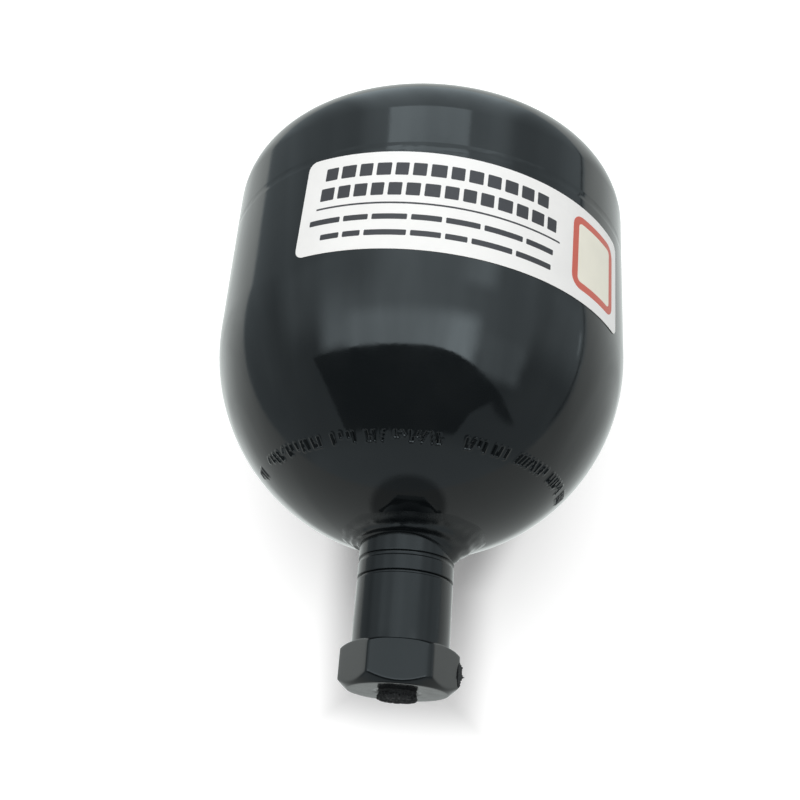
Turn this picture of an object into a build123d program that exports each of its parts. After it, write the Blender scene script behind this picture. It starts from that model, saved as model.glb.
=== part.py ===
from build123d import *
import math
import os

# A welded diaphragm accumulator for a transmission's oil circuit, in millimetres.
# The origin is the centre of the port's end face, and +Z runs up the axis to the gas end.
# The port face, the hexagon and the neck are at the bottom, so the label reads upright from -Y.

# Vessel
body_diameter = 136.0
cylinder_length = 51.3
neck_reach = 43.8  # from the port face up to the pole of the lower dome
crown_radius = 110.0
knuckle_radius = 21.5
shell_wall = 5.0
head_wall = 5.5

# Girth seam, and the ring behind it that holds the diaphragm's edge
seam_below_shoulder = 14.6
seam_width = 3.2
seam_root = 1.5
seam_hollow = 0.15  # the weld's face is ground this far below the skin
recess_depth = 2.0
ledge_below_seam = 13.5
recess_above_seam = 5.0
ring_wall = 4.3
ring_lip_depth = 2.0
ring_lip_width = 1.6

# Port fitting
neck_diameter = 30.0
hex_across_flats = 32.0
hex_height = 13.0
hex_edge_radius = 0.7
hex_lower_inset = 0.7  # the turned end circle lies this far inside the flats
hex_lower_angle = 40.0
hex_upper_angle = 20.0
grooves_below_dome = (10.1, 4.1)
groove_widths = (0.9, 1.3)
groove_depth = 0.6
port_thread_bore = 11.8  # wall of a G1/4 thread
port_thread_depth = 14.0
port_countersink = 0.9
passage_diameter = 8.0
seat_chamfer = 1.0
neck_weld_on_dome = 8.0
neck_weld_on_neck = 2.6
neck_weld_bulge = 0.5

# Gas end
boss_root_diameter = 32.0
boss_shoulder_height = 3.0
boss_thread_diameter = 28.0
boss_thread_length = 11.0
boss_chamfer = 1.2
boss_weld_leg = 4.0
screw_thread_diameter = 12.8
screw_thread_length = 14.0
screw_head_overhang = 2.6  # past the thread, on each side
screw_head_height = 4.5
screw_socket_flats = 6.0
screw_socket_depth = 5.0
screw_tip_length = 2.0
seal_section = 2.1
screw_below_rim = 0.8

# Diaphragm and its button
membrane_wall = 2.5
bead_height = 6.0
button_diameter = 28.0
button_thickness = 4.0
button_edge = 0.8
stud_diameter = 8.0
stud_length = 1.5
stud_head_diameter = 13.0
stud_head_height = 1.5
membrane_boss_diameter = 38.0
membrane_over_stud = 2.8

# Transit plug in the port
plug_stick_out = 2.4
plug_depth = 6.0
plug_taper = 0.25
plug_hollow_diameter = 7.0

# Label
label_length = 118.0
label_height = 34.5
label_corner = 3.0
label_thickness = 0.2
label_below_seam = 20.6  # from the seam down to the label's middle
label_azimuth = 14.5  # turned this far to the right of -Y
label_tilt = 2.83  # right end low

# Clearances
weld_gap = 0.1  # between pieces that a weld joins
screwed_gap = 0.1
ring_gap = 0.1
rubber_gap = 0.4  # between the diaphragm and the shell's wall
moulded_gap = 0.05  # between the button and the rubber round it
plug_gap = 0.15
resting_gap = 0.1

# Places worked out from the sizes above
body_radius = body_diameter / 2
dome_centre = neck_reach + body_radius
shoulder = dome_centre + cylinder_length
knuckle_reach = crown_radius - knuckle_radius  # from the crown's centre to the knuckle's
knuckle_out = body_radius - knuckle_radius
crown_centre = shoulder - math.sqrt(knuckle_reach**2 - knuckle_out**2)
apex = crown_centre + crown_radius
crown_angle = math.degrees(math.asin(knuckle_out / knuckle_reach))
seam = shoulder - seam_below_shoulder
inner_radius = body_radius - shell_wall
recess_radius = inner_radius + recess_depth
ledge = seam - ledge_below_seam
bead_top = ledge + bead_height
neck_radius = neck_diameter / 2
seat = dome_centre - math.sqrt(inner_radius**2 - neck_radius**2)
ring_outer = recess_radius - ring_gap
ring_bore = ring_outer - ring_wall
membrane_radius = inner_radius - rubber_gap
button_floor = seat + resting_gap
button_top = button_floor + button_thickness
stud_top = button_top + stud_length + stud_head_height
boss_top = apex + boss_shoulder_height + boss_thread_length
head_inside = apex - head_wall
screw_head = screw_thread_diameter / 2 + screw_head_overhang


def turn(*lines):
    # A closed outline of (radius, height) points, turned about the vessel's axis.
    return revolve(Plane.XZ * make_face(lines), Axis.Z)


def turned_ring(*points):
    return turn(Polyline(*points, close=True))


def drum(diameter, bottom, top):
    standing = (Align.CENTER, Align.CENTER, Align.MIN)
    return Pos(0, 0, bottom) * Cylinder(diameter / 2, top - bottom, align=standing)


def vessel(inset):
    # The whole closed vessel: spherical lower dome, cylinder and dished head, moved in by inset.
    radius = body_radius - inset
    crown = crown_radius - inset
    knuckle_end = 90 - crown_angle
    return turn(
        CenterArc((0, dome_centre), radius, -90, 90),
        Line((radius, dome_centre), (radius, shoulder)),
        CenterArc((knuckle_out, shoulder), knuckle_radius - inset, 0, knuckle_end),
        CenterArc((0, crown_centre), crown, knuckle_end, crown_angle),
        Line((0, crown_centre + crown), (0, dome_centre - radius)),
    )


def bowl(radius, top):
    # The lower dome's inside shape at a smaller radius, with a straight wall up to a height.
    return turn(
        CenterArc((0, dome_centre), radius, -90, 90),
        Line((radius, dome_centre), (radius, top)),
        Line((radius, top), (0, top)),
        Line((0, top), (0, dome_centre - radius)),
    )


def dome_height(radius):
    # Height of the lower dome's outside at a distance from the axis.
    return dome_centre - math.sqrt(body_radius**2 - radius**2)


def crown_height(radius):
    # Height of the upper head's outside at a distance from the axis.
    return crown_centre + math.sqrt(crown_radius**2 - radius**2)


def seam_vee():
    # The joint between the shells, from the ring's back out to the skin.
    return turned_ring(
        (recess_radius, seam - seam_root / 2),
        (body_radius, seam - seam_width / 2),
        (body_radius, seam + seam_width / 2),
        (recess_radius, seam + seam_root / 2),
    )


def make_girth_weld():
    # Fills the vee. Its face is ground a little hollow, which shows as a faint line in the paint.
    low = (body_radius, seam - seam_width / 2)
    high = (body_radius, seam + seam_width / 2)
    groove = turn(ThreePointArc(low, (body_radius - seam_hollow, seam), high), Line(high, low))
    return seam_vee() - groove


def make_lower_shell():
    shell = vessel(0) - vessel(shell_wall)
    shell &= drum(2 * body_diameter, 0, seam)
    shell -= drum(2 * recess_radius, ledge, seam)
    shell -= drum(neck_diameter + 2 * weld_gap, 0, dome_centre)
    return shell - seam_vee()


def make_upper_shell():
    shell = vessel(0) - vessel(head_wall)
    shell &= drum(2 * body_diameter, seam, apex + 1)
    shell -= drum(2 * recess_radius, seam, seam + recess_above_seam)
    shell -= drum(boss_root_diameter + 2 * weld_gap, shoulder, apex + 1)
    return shell - seam_vee()


def make_clamp_ring():
    # Backs the seam, and its lip hooks over the step in the diaphragm's edge.
    top = seam + recess_above_seam - ring_gap
    return turned_ring(
        (ring_bore, bead_top - ring_lip_depth),
        (ring_bore + ring_lip_width, bead_top - ring_lip_depth),
        (ring_bore + ring_lip_width, bead_top),
        (ring_outer, bead_top),
        (ring_outer, top),
        (ring_bore, top - ring_wall / 2),
    )


def button_blank(gap):
    # Plate, stud and stud head in one turned piece, grown by a gap for the hollow that holds it.
    plate = button_diameter / 2 + gap
    stud = stud_diameter / 2 + gap
    head = stud_head_diameter / 2 + gap
    return turned_ring(
        (0, button_floor - gap),
        (plate, button_floor - gap),
        (plate, button_top + gap),
        (stud, button_top + gap),
        (stud, button_top + stud_length - gap),
        (head, button_top + stud_length - gap),
        (head, stud_top + gap),
        (0, stud_top + gap),
    )


def make_closure_button():
    button = button_blank(0)
    rims = button.edges().filter_by(GeomType.CIRCLE).group_by(SortBy.RADIUS)[-1]
    return fillet(rims, button_edge)


def make_diaphragm():
    inside = membrane_radius - membrane_wall
    skirt = bowl(membrane_radius, bead_top) - bowl(inside, bead_top)
    bead = drum(2 * ring_outer, ledge, bead_top) - drum(2 * inside, ledge, bead_top)
    step = drum(2 * (ring_bore + ring_lip_width + ring_gap), bead_top - ring_lip_depth, bead_top)
    boss = drum(membrane_boss_diameter, 0, stud_top + membrane_over_stud) & bowl(membrane_radius, ledge)
    # Flat over the fitting's end, level with the button.
    flat = max(neck_radius + rubber_gap, button_diameter / 2 + moulded_gap)
    return skirt + bead + boss - step - button_blank(moulded_gap) - drum(2 * flat, 0, button_floor)


def hex_blank():
    # The bar's flats face -Y and +Y. Both ends are turned to a cone that leaves round-ended flats.
    corner = hex_across_flats / math.sqrt(3)
    prism = extrude(RegularPolygon(corner, 6), hex_height)
    prism = fillet(prism.edges().filter_by(Axis.Z), hex_edge_radius)
    lower = hex_across_flats / 2 - hex_lower_inset
    lower_rise = (corner - lower) * math.tan(math.radians(hex_lower_angle))
    upper_drop = (corner - neck_radius) * math.tan(math.radians(hex_upper_angle))
    return prism & turned_ring(
        (0, 0),
        (lower, 0),
        (corner, lower_rise),
        (corner, hex_height - upper_drop),
        (neck_radius, hex_height),
        (0, hex_height),
    )


def make_port_fitting():
    fitting = hex_blank() + drum(neck_diameter, hex_height, seat)
    for below, width in zip(grooves_below_dome, groove_widths):
        height = neck_reach - below
        cutter = drum(neck_diameter + 2, height - width / 2, height + width / 2)
        fitting -= cutter - drum(neck_diameter - 2 * groove_depth, height - width, height + width)
    bore = port_thread_bore / 2
    passage = passage_diameter / 2
    return fitting - turned_ring(
        (0, 0),
        (bore + port_countersink, 0),
        (bore, port_countersink),
        (bore, port_thread_depth),
        (passage, port_thread_depth + bore - passage),
        (passage, seat - seat_chamfer),
        (passage + seat_chamfer, seat),
        (0, seat),
    )


def make_neck_weld():
    # A low fillet between the neck and the dome, thicker on the dome than on the neck.
    top_toe = (neck_radius + neck_weld_on_dome, dome_height(neck_radius + neck_weld_on_dome))
    low_toe = (neck_radius, dome_height(neck_radius) - neck_weld_on_neck)
    middle = ((top_toe[0] + low_toe[0]) / 2, (top_toe[1] + low_toe[1]) / 2 - neck_weld_bulge)
    back = (neck_radius, top_toe[1])
    bead = turn(ThreePointArc(low_toe, middle, top_toe), Line(top_toe, back), Line(back, low_toe))
    return bead - vessel(0)


def make_gas_boss():
    # Its shoulder sits on the head round the hole, and the charging tool screws on to the thread.
    root = boss_root_diameter / 2
    thread = boss_thread_diameter / 2
    head = screw_head + screwed_gap
    tapped = screw_thread_diameter / 2 + screwed_gap
    head_seat = boss_top - screw_below_rim - screw_head_height
    seal_floor = head_seat - seal_section
    return turned_ring(
        (tapped, head_inside),
        (root, head_inside),
        (root, apex + boss_shoulder_height),
        (thread, apex + boss_shoulder_height),
        (thread, boss_top - boss_chamfer),
        (thread - boss_chamfer, boss_top),
        (head, boss_top),
        (head, head_seat),
        (tapped + seal_section, head_seat),
        (tapped + seal_section, seal_floor),
        (tapped, seal_floor),
    )


def make_boss_weld():
    root = boss_root_diameter / 2
    far = root + boss_weld_leg
    rise = min(boss_weld_leg, boss_shoulder_height) * 0.8
    bead = turned_ring((root, crown_height(root) + rise), (far, crown_height(far)), (root, crown_height(far)))
    return bead - vessel(0)


def make_charging_screw():
    shank = screw_thread_diameter / 2
    head_seat = boss_top - screw_below_rim - screw_head_height
    tip = head_seat - screw_thread_length
    screw = turned_ring(
        (0, tip - screw_tip_length),
        (shank - screw_tip_length, tip - screw_tip_length),
        (shank, tip),
        (shank, head_seat),
        (screw_head, head_seat),
        (screw_head, head_seat + screw_head_height),
        (0, head_seat + screw_head_height),
    )
    top = screw.edges().filter_by(GeomType.CIRCLE).sort_by(Axis.Z)[-1]
    screw = chamfer(top, seat_chamfer / 2)
    socket = extrude(RegularPolygon(screw_socket_flats / math.sqrt(3), 6), screw_socket_depth)
    return screw - Pos(0, 0, head_seat + screw_head_height - screw_socket_depth) * socket


def make_screw_seal():
    head_seat = boss_top - screw_below_rim - screw_head_height
    section = (seal_section - screwed_gap) / 2
    middle = screw_thread_diameter / 2 + screwed_gap + seal_section / 2
    return Pos(0, 0, head_seat - seal_section / 2) * Torus(middle - screwed_gap / 2, section)


def make_port_plug():
    # A soft push-in stopper, hollow from the inner end.
    outer = port_thread_bore / 2 - plug_gap
    hollow = plug_hollow_diameter / 2
    return turned_ring(
        (0, -plug_stick_out),
        (outer, -plug_stick_out),
        (outer, 0),
        (outer - plug_taper, plug_depth),
        (hollow, plug_depth),
        (hollow, plug_depth / 3),
        (0, plug_depth / 3),
    )


def make_label():
    # A rounded rectangle wrapped on the body, a little askew.
    half_angle = label_length / body_diameter
    outline = RectangleRounded(2 * body_radius * math.sin(half_angle), label_height, label_corner)
    front = Plane(origin=(0, 0, seam - label_below_seam), x_dir=(1, 0, 0), z_dir=(0, -1, 0))
    cutter = extrude(front * Rot(0, 0, -label_tilt) * outline, body_diameter)
    skin = vessel(-label_thickness) - vessel(0)
    return Rot(0, 0, label_azimuth) * (skin & cutter)


pieces = {
    "lower_shell": make_lower_shell(),
    "upper_shell": make_upper_shell(),
    "girth_weld": make_girth_weld(),
    "clamp_ring": make_clamp_ring(),
    "diaphragm": make_diaphragm(),
    "closure_button": make_closure_button(),
    "port_fitting": make_port_fitting(),
    "neck_weld": make_neck_weld(),
    "gas_boss": make_gas_boss(),
    "boss_weld": make_boss_weld(),
    "charging_screw": make_charging_screw(),
    "screw_seal": make_screw_seal(),
    "port_plug": make_port_plug(),
    "label": make_label(),
}

os.makedirs("parts", exist_ok=True)
for name, solid in pieces.items():
    export_step(solid, f"parts/{name}.step")
    box = solid.bounding_box()
    print(name, "from", round(box.min.Z, 2), "to", round(box.max.Z, 2), "volume", round(solid.volume))
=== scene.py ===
import math
import random

import bmesh
import bpy
import numpy as np
from mathutils import Matrix, Vector, noise


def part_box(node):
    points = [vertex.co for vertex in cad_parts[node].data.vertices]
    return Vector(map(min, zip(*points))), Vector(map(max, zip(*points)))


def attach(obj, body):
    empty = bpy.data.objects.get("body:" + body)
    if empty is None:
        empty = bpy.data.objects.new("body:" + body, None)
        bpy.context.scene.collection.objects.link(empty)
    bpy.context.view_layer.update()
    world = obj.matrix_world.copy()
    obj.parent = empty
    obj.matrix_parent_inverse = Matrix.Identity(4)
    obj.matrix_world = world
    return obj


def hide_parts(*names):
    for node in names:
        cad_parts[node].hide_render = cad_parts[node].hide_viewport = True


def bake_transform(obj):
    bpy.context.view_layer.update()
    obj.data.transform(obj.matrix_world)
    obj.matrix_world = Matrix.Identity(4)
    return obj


# The looks of a black painted diaphragm accumulator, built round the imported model.
# Lengths in this file are millimetres and angles degrees, until a mesh is made.

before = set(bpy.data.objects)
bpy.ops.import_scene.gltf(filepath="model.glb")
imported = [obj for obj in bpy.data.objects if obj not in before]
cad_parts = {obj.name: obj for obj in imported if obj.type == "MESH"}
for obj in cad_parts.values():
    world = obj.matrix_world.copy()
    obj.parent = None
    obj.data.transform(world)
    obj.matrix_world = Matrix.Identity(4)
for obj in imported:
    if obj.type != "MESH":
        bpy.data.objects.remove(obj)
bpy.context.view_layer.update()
mm = 0.001
print("frame loaded:", len(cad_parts), "nodes")


def nodeBox(node):
    low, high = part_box(node)
    return low / mm, high / mm


# Places that several pieces share
bodyRadius = nodeBox("lower_shell")[1].x
seamLow, seamHigh = nodeBox("girth_weld")[0].z, nodeBox("girth_weld")[1].z
seamMiddle = (seamLow + seamHigh) / 2
crownTop = nodeBox("upper_shell")[1].z
neckTop = nodeBox("port_fitting")[1].z
bossTop = nodeBox("gas_boss")[1].z
vessel = {
    "neckReach": 43.8,      # from the port's face to the pole of the lower dome
    "neckRadius": 15.0,
    "shoulderAboveSeam": 14.6,
    "crownRadius": 110.0,
    "knuckleRadius": 21.5,
    "wall": 5.0,
    "headWall": 5.5,
    "recess": 2.0,
    "weldGap": 0.1,
}
domeCentre = vessel["neckReach"] + bodyRadius
shoulder = seamMiddle + vessel["shoulderAboveSeam"]
innerRadius = bodyRadius - vessel["wall"]
recessRadius = innerRadius + vessel["recess"]
knuckleOut = bodyRadius - vessel["knuckleRadius"]
knuckleReach = vessel["crownRadius"] - vessel["knuckleRadius"]
crownCentre = shoulder - math.sqrt(knuckleReach ** 2 - knuckleOut ** 2)
knuckleEnd = math.degrees(math.acos(knuckleOut / knuckleReach))
ledge = nodeBox("diaphragm")[1].z - 6.0


# Small shape helpers

def smooth(value, low, high):
    share = np.clip((value - low) / (high - low), 0, 1)
    return share * share * (3 - 2 * share)


def softMin(a, b, reach):
    # The smaller of two values, with the corner between them rounded.
    return -reach * np.logaddexp(-a / reach, -b / reach)


def line(start, end, count):
    return [(start[0] + (end[0] - start[0]) * i / count, start[1] + (end[1] - start[1]) * i / count)
            for i in range(count)]


def arc(middle, radius, startAngle, endAngle, count):
    # Points from the start angle up to, but not at, the end angle. 0 points outward and 90 up.
    angles = [math.radians(startAngle + (endAngle - startAngle) * i / count) for i in range(count)]
    return [(middle[0] + radius * math.cos(a), middle[1] + radius * math.sin(a)) for a in angles]


def azimuths(*spans):
    # Angles round the axis, in radians, from spans of (start, end, step) in degrees.
    found = [np.arange(round((end - start) / step)) * step + start for start, end, step in spans]
    return np.radians(np.concatenate(found))


def domeHeight(radius):
    return domeCentre - np.sqrt(bodyRadius ** 2 - radius ** 2)


def lumps(points, size, seed, octaves=3):
    # Soft noise from -1 to 1 at each point, with lumps of about the size given.
    flat = points.reshape(-1, 3) / size + seed * 7.31
    found = [noise.fractal(Vector(p), 0.6, 2.0, octaves) for p in flat.tolist()]
    return np.array(found).reshape(points.shape[:-1])


def placeAround(radius, height, around):
    return np.stack([radius * np.cos(around), radius * np.sin(around), height], axis=-1)


def gridMesh(name, points, openSection=False, mergePoles=False):
    rings, steps = points.shape[:2]
    number = np.arange(rings * steps).reshape(rings, steps)
    nextRing = np.roll(number, -1, axis=0)
    corners = [number, np.roll(number, -1, axis=1), np.roll(nextRing, -1, axis=1), nextRing]
    faces = np.stack(corners, axis=2)
    if openSection:
        faces = faces[:-1]
    mesh = bpy.data.meshes.new(name)
    mesh.from_pydata((points.reshape(-1, 3) * mm).tolist(), [], faces.reshape(-1, 4).tolist())
    if mergePoles:
        shape = bmesh.new()
        shape.from_mesh(mesh)
        bmesh.ops.remove_doubles(shape, verts=shape.verts, dist=1e-6)
        shape.to_mesh(mesh)
        shape.free()
    mesh.update()
    mesh.shade_smooth()
    mesh.set_sharp_from_angle(angle=math.radians(50))
    return mesh


def turnedMesh(name, outline, around, shape=None, **options):
    # Turns an outline of (radius, height) points. The outside runs upward and the inside downward.
    outline = np.array(outline)
    radius = np.repeat(outline[:, :1], len(around), axis=1)
    height = np.repeat(outline[:, 1:], len(around), axis=1)
    turned = np.repeat(around[None, :], len(outline), axis=0)
    if shape:
        radius, height = shape(radius, height, turned)
    return gridMesh(name, placeAround(radius, height, turned), **options)


def addPiece(name, mesh, material, body, slotName, *replaced):
    piece = bpy.data.objects.new(name, mesh)
    bpy.context.scene.collection.objects.link(piece)
    mesh.materials.append(material)
    if body:
        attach(piece, body)
    if replaced:
        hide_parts(*replaced)
    return piece


# Node helpers

def addNode(tree, kind, inputs=None, **settings):
    node = tree.nodes.new(kind)
    for key, value in settings.items():
        setattr(node, key, value)
    for key, value in (inputs or {}).items():
        if isinstance(value, bpy.types.NodeSocket):
            tree.links.new(value, node.inputs[key])
        else:
            node.inputs[key].default_value = value
    return node


def calc(tree, operation, first, second=0.0, third=0.0):
    inputs = {0: first, 1: second, 2: third}
    return addNode(tree, "ShaderNodeMath", inputs, operation=operation).outputs[0]


def ramp(tree, value, low, high, lowValue=0.0, highValue=1.0):
    inputs = {"Value": value, "From Min": low, "From Max": high, "To Min": lowValue, "To Max": highValue}
    return addNode(tree, "ShaderNodeMapRange", inputs, interpolation_type="SMOOTHSTEP").outputs[0]


def mixColour(tree, share, first, second):
    node = addNode(tree, "ShaderNodeMix", data_type="RGBA")
    for socket, value in zip((node.inputs[0], node.inputs[6], node.inputs[7]), (share, first, second)):
        if isinstance(value, bpy.types.NodeSocket):
            tree.links.new(value, socket)
        else:
            socket.default_value = value
    return node.outputs[2]


def mixLevel(tree, share, first, second):
    node = addNode(tree, "ShaderNodeMix", data_type="FLOAT")
    for socket, value in zip((node.inputs[0], node.inputs[2], node.inputs[3]), (share, first, second)):
        if isinstance(value, bpy.types.NodeSocket):
            tree.links.new(value, socket)
        else:
            socket.default_value = value
    return node.outputs[0]


def colour(red, green, blue):
    return (red, green, blue, 1.0)


def newMaterial(name):
    material = bpy.data.materials.new(name)
    material.use_nodes = True
    return material, material.node_tree, material.node_tree.nodes["Principled BSDF"]


def objectPlace(tree, stretch=(1, 1, 1)):
    place = addNode(tree, "ShaderNodeTexCoord").outputs["Object"]
    return addNode(tree, "ShaderNodeMapping", {"Vector": place, "Scale": stretch}).outputs[0]


def grain(tree, place, size, detail=2.0, roughness=0.5):
    # Noise from 0 to 1 with lumps of about the size given, in millimetres.
    inputs = {"Vector": place, "Scale": 1 / (size * mm), "Detail": detail, "Roughness": roughness}
    return addNode(tree, "ShaderNodeTexNoise", inputs).outputs["Fac"]


def relief(tree, shader, *layers):
    # Adds bump layers of (height socket, depth in millimetres), one on the other.
    normal = None
    for height, depth in layers:
        inputs = {"Height": height, "Distance": depth * mm, "Strength": 1.0}
        if normal:
            inputs["Normal"] = normal
        normal = addNode(tree, "ShaderNodeBump", inputs).outputs[0]
    tree.links.new(normal, shader.inputs["Normal"])


# Paint

paint = {
    "body": colour(0.0030, 0.0042, 0.0050),
    "worn": colour(0.0052, 0.0065, 0.0072),
    "dust": colour(0.55, 0.56, 0.55),
    "bodyRoughness": (0.055, 0.105),
    "fittingRoughness": (0.11, 0.22),
    "orangePeel": 0.006,    # depth of the fine skin, mm
    "waves": 0.019,         # depth of the long waves under it, mm
}


def makePaint(name, roughness, peelSize, peelDepth, waveDepth, dustShare, ior=1.5):
    material, tree, shader = newMaterial(name)
    place = objectPlace(tree)
    patches = grain(tree, place, 24.0, 3.0, 0.6)
    smear = grain(tree, objectPlace(tree, (1, 1, 0.35)), 7.0, 4.0, 0.62)
    base = mixColour(tree, ramp(tree, patches, 0.35, 0.7), paint["body"], paint["worn"])
    # Dust that dried into the paint: a rare small dot in the cells of a Voronoi pattern
    cells = addNode(tree, "ShaderNodeTexVoronoi", {"Vector": place, "Scale": 1 / (7.0 * mm)})
    dot = ramp(tree, cells.outputs["Distance"], 0.022, 0.034, 1.0, 0.0)
    pick = addNode(tree, "ShaderNodeSeparateColor", {"Color": cells.outputs["Color"]}).outputs[0]
    chosen = calc(tree, "LESS_THAN", pick, dustShare)
    speck = calc(tree, "MULTIPLY", dot, chosen)
    tree.links.new(mixColour(tree, speck, base, paint["dust"]), shader.inputs["Base Color"])
    rough = ramp(tree, smear, 0.3, 0.72, *roughness)
    tree.links.new(rough, shader.inputs["Roughness"])
    shader.inputs["IOR"].default_value = ior
    peel = grain(tree, place, peelSize, 2.0, 0.55)
    waves = grain(tree, place, 11.0, 1.5, 0.5)
    relief(tree, shader, (waves, waveDepth), (peel, peelDepth), (speck, 0.03))
    return material


bodyPaint = makePaint("bodyPaint", paint["bodyRoughness"], 1.5, paint["orangePeel"], paint["waves"], 0.05)
fittingPaint = makePaint("fittingPaint", paint["fittingRoughness"], 0.55, 0.010, 0.008, 0.02, 1.43)
weldPaint = makePaint("weldPaint", (0.16, 0.34), 0.9, 0.035, 0.04, 0.02)


# Other finishes

def makeMetal(name, base, roughness, brushing, depth):
    material, tree, shader = newMaterial(name)
    streaks = grain(tree, objectPlace(tree, brushing), 1.2, 3.0, 0.6)
    blotch = grain(tree, objectPlace(tree), 5.0, 3.0, 0.6)
    dark = tuple(c * 0.78 for c in base[:3]) + (1.0,)
    tree.links.new(mixColour(tree, ramp(tree, blotch, 0.3, 0.7), dark, base), shader.inputs["Base Color"])
    tree.links.new(ramp(tree, streaks, 0.25, 0.75, *roughness), shader.inputs["Roughness"])
    shader.inputs["Metallic"].default_value = 1.0
    relief(tree, shader, (streaks, depth))
    return material


def makeRubber(name, base, roughness, size, depth, contrast=1.9):
    material, tree, shader = newMaterial(name)
    pebble = grain(tree, objectPlace(tree), size, 4.0, 0.62)
    pale = tuple(c * contrast for c in base[:3]) + (1.0,)
    tree.links.new(mixColour(tree, ramp(tree, pebble, 0.4, 0.75), base, pale), shader.inputs["Base Color"])
    tree.links.new(ramp(tree, pebble, 0.3, 0.7, *roughness), shader.inputs["Roughness"])
    relief(tree, shader, (pebble, depth))
    return material


def makeFilm(name, base, roughness):
    # Satin printed film: a trace of paper tooth and faint handling marks.
    material, tree, shader = newMaterial(name)
    cloud = grain(tree, objectPlace(tree), 14.0, 3.0, 0.6)
    tooth = grain(tree, objectPlace(tree), 0.35, 2.0, 0.5)
    shade = tuple(c * 0.955 for c in base[:3]) + (1.0,)
    tree.links.new(mixColour(tree, ramp(tree, cloud, 0.3, 0.75), base, shade), shader.inputs["Base Color"])
    tree.links.new(ramp(tree, tooth, 0.3, 0.7, *roughness), shader.inputs["Roughness"])
    relief(tree, shader, (tooth, 0.004))
    return material


machinedSteel = makeMetal("machinedSteel", colour(0.55, 0.55, 0.54), (0.22, 0.38), (1, 1, 9), 0.004)
zincPlate = makeMetal("zincPlate", colour(0.66, 0.65, 0.58), (0.2, 0.34), (1, 1, 5), 0.005)
mouldedRubber = makeRubber("mouldedRubber", colour(0.02, 0.02, 0.021), (0.5, 0.68), 0.8, 0.02)
tornPlastic = makeRubber("tornPlastic", colour(0.009, 0.009, 0.009), (0.6, 0.85), 0.35, 0.14, 6.0)
whiteFilm = makeFilm("whiteFilm", colour(0.90, 0.90, 0.885), (0.34, 0.46))
darkInk = makeFilm("darkInk", colour(0.035, 0.034, 0.038), (0.4, 0.55))
redInk = makeFilm("redInk", colour(0.62, 0.125, 0.085), (0.38, 0.5))
creamInk = makeFilm("creamInk", colour(0.90, 0.88, 0.76), (0.38, 0.5))
print("materials made:", len(bpy.data.materials))


# Lower shell, with a ring of plain stamped strokes on its dome

stampRing = {
    "height": 63.0,         # middle of the strokes
    "strokeHeight": 3.1,
    "strokeWidth": 0.3,
    "depth": 0.28,
    "lip": 0.17,
    # Groups of strokes, as (start, end) round the axis
    "groups": ((-175, -167), (-158, -148), (-146, -124), (-121, -112), (-108, -101), (-98, -82),
               (-73, -65), (-62, -54), (-51, -34), (-30, -16), (-11, -3)),
    "pitch": 2.35,
    "seed": 11,
}


def stampStrokes():
    # Each stroke is (first end, second end) in millimetres round and up the dome.
    draw = random.Random(stampRing["seed"])
    ringRadius = math.sqrt(bodyRadius ** 2 - (domeCentre - stampRing["height"]) ** 2)
    half = stampRing["strokeHeight"] / 2
    strokes = []
    for start, end in stampRing["groups"]:
        place = math.radians(start) * ringRadius
        while place < math.radians(end) * ringRadius:
            lean = draw.choice((0, 0, 0, 0.55, -0.55, 0.9)) + draw.uniform(-0.12, 0.12)
            low = -half if draw.random() < 0.75 else draw.uniform(-0.4, 0.2) * half
            strokes.append(((place - lean * 0.6, low), (place + lean * 0.6, half)))
            if draw.random() < 0.3:
                strokes.append(((place + 0.9, low * 0.95), (place + 0.9, low * 0.35)))
            place += stampRing["pitch"] * draw.uniform(0.62, 1.12)
    return strokes, ringRadius


def pressStrokes(radius, height, around):
    # Presses the strokes into the dome, and raises a low lip round each.
    strokes, ringRadius = stampStrokes()
    polar = np.arctan2(radius, domeCentre - height)
    middle = math.asin(ringRadius / bodyRadius)
    up = (polar - middle) * bodyRadius
    across = around * ringRadius
    onDome = (np.hypot(radius, height - domeCentre) > bodyRadius - 0.01) & (np.abs(up) < 3.2)
    nearest = np.full(radius.shape, 9.0)
    rows = np.where(onDome.any(axis=1))[0]
    for (x0, y0), (x1, y1) in strokes:
        columns = np.where((across[0] > min(x0, x1) - 1.6) & (across[0] < max(x0, x1) + 1.6))[0]
        if not len(columns):
            continue
        part = np.ix_(rows, columns)
        alongX, alongY = x1 - x0, y1 - y0
        share = ((across[part] - x0) * alongX + (up[part] - y0) * alongY) / (alongX ** 2 + alongY ** 2)
        share = np.clip(share, 0, 1)
        gap = np.hypot(across[part] - x0 - share * alongX, up[part] - y0 - share * alongY)
        nearest[part] = np.minimum(nearest[part], gap)
    width = stampRing["strokeWidth"]
    sunk = stampRing["depth"] * (1 - smooth(nearest, width * 0.35, width * 1.25))
    raised = stampRing["lip"] * np.exp(-((nearest - width * 1.9) / (width * 0.7)) ** 2)
    change = np.where(onDome, raised - sunk, 0)
    return radius + change * np.sin(polar), height - change * np.cos(polar)


def makeLowerShell():
    hole = vessel["neckRadius"] + vessel["weldGap"]
    centre = (0, domeCentre)
    outerStart = -90 + math.degrees(math.asin(hole / bodyRadius))
    innerStart = -90 + math.degrees(math.asin(hole / innerRadius))
    outline = arc(centre, bodyRadius, outerStart, -48.4, 28)
    outline += arc(centre, bodyRadius, -48.4, -43.4, 28)
    outline += arc(centre, bodyRadius, -43.4, 0, 36)
    outline += line((bodyRadius, domeCentre), (bodyRadius, seamLow), 4)
    outline += [(bodyRadius, seamLow), (recessRadius, seamMiddle - 0.75)]
    outline += [(recessRadius, ledge), (innerRadius, ledge)]
    outline += arc(centre, innerRadius, 0, innerStart, 24)
    outline += [(hole, domeCentre + innerRadius * math.sin(math.radians(innerStart)))]
    around = azimuths((-180, 0, 0.36), (0, 180, 1.8))
    return turnedMesh("lowerShell", outline, around, pressStrokes)


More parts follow.
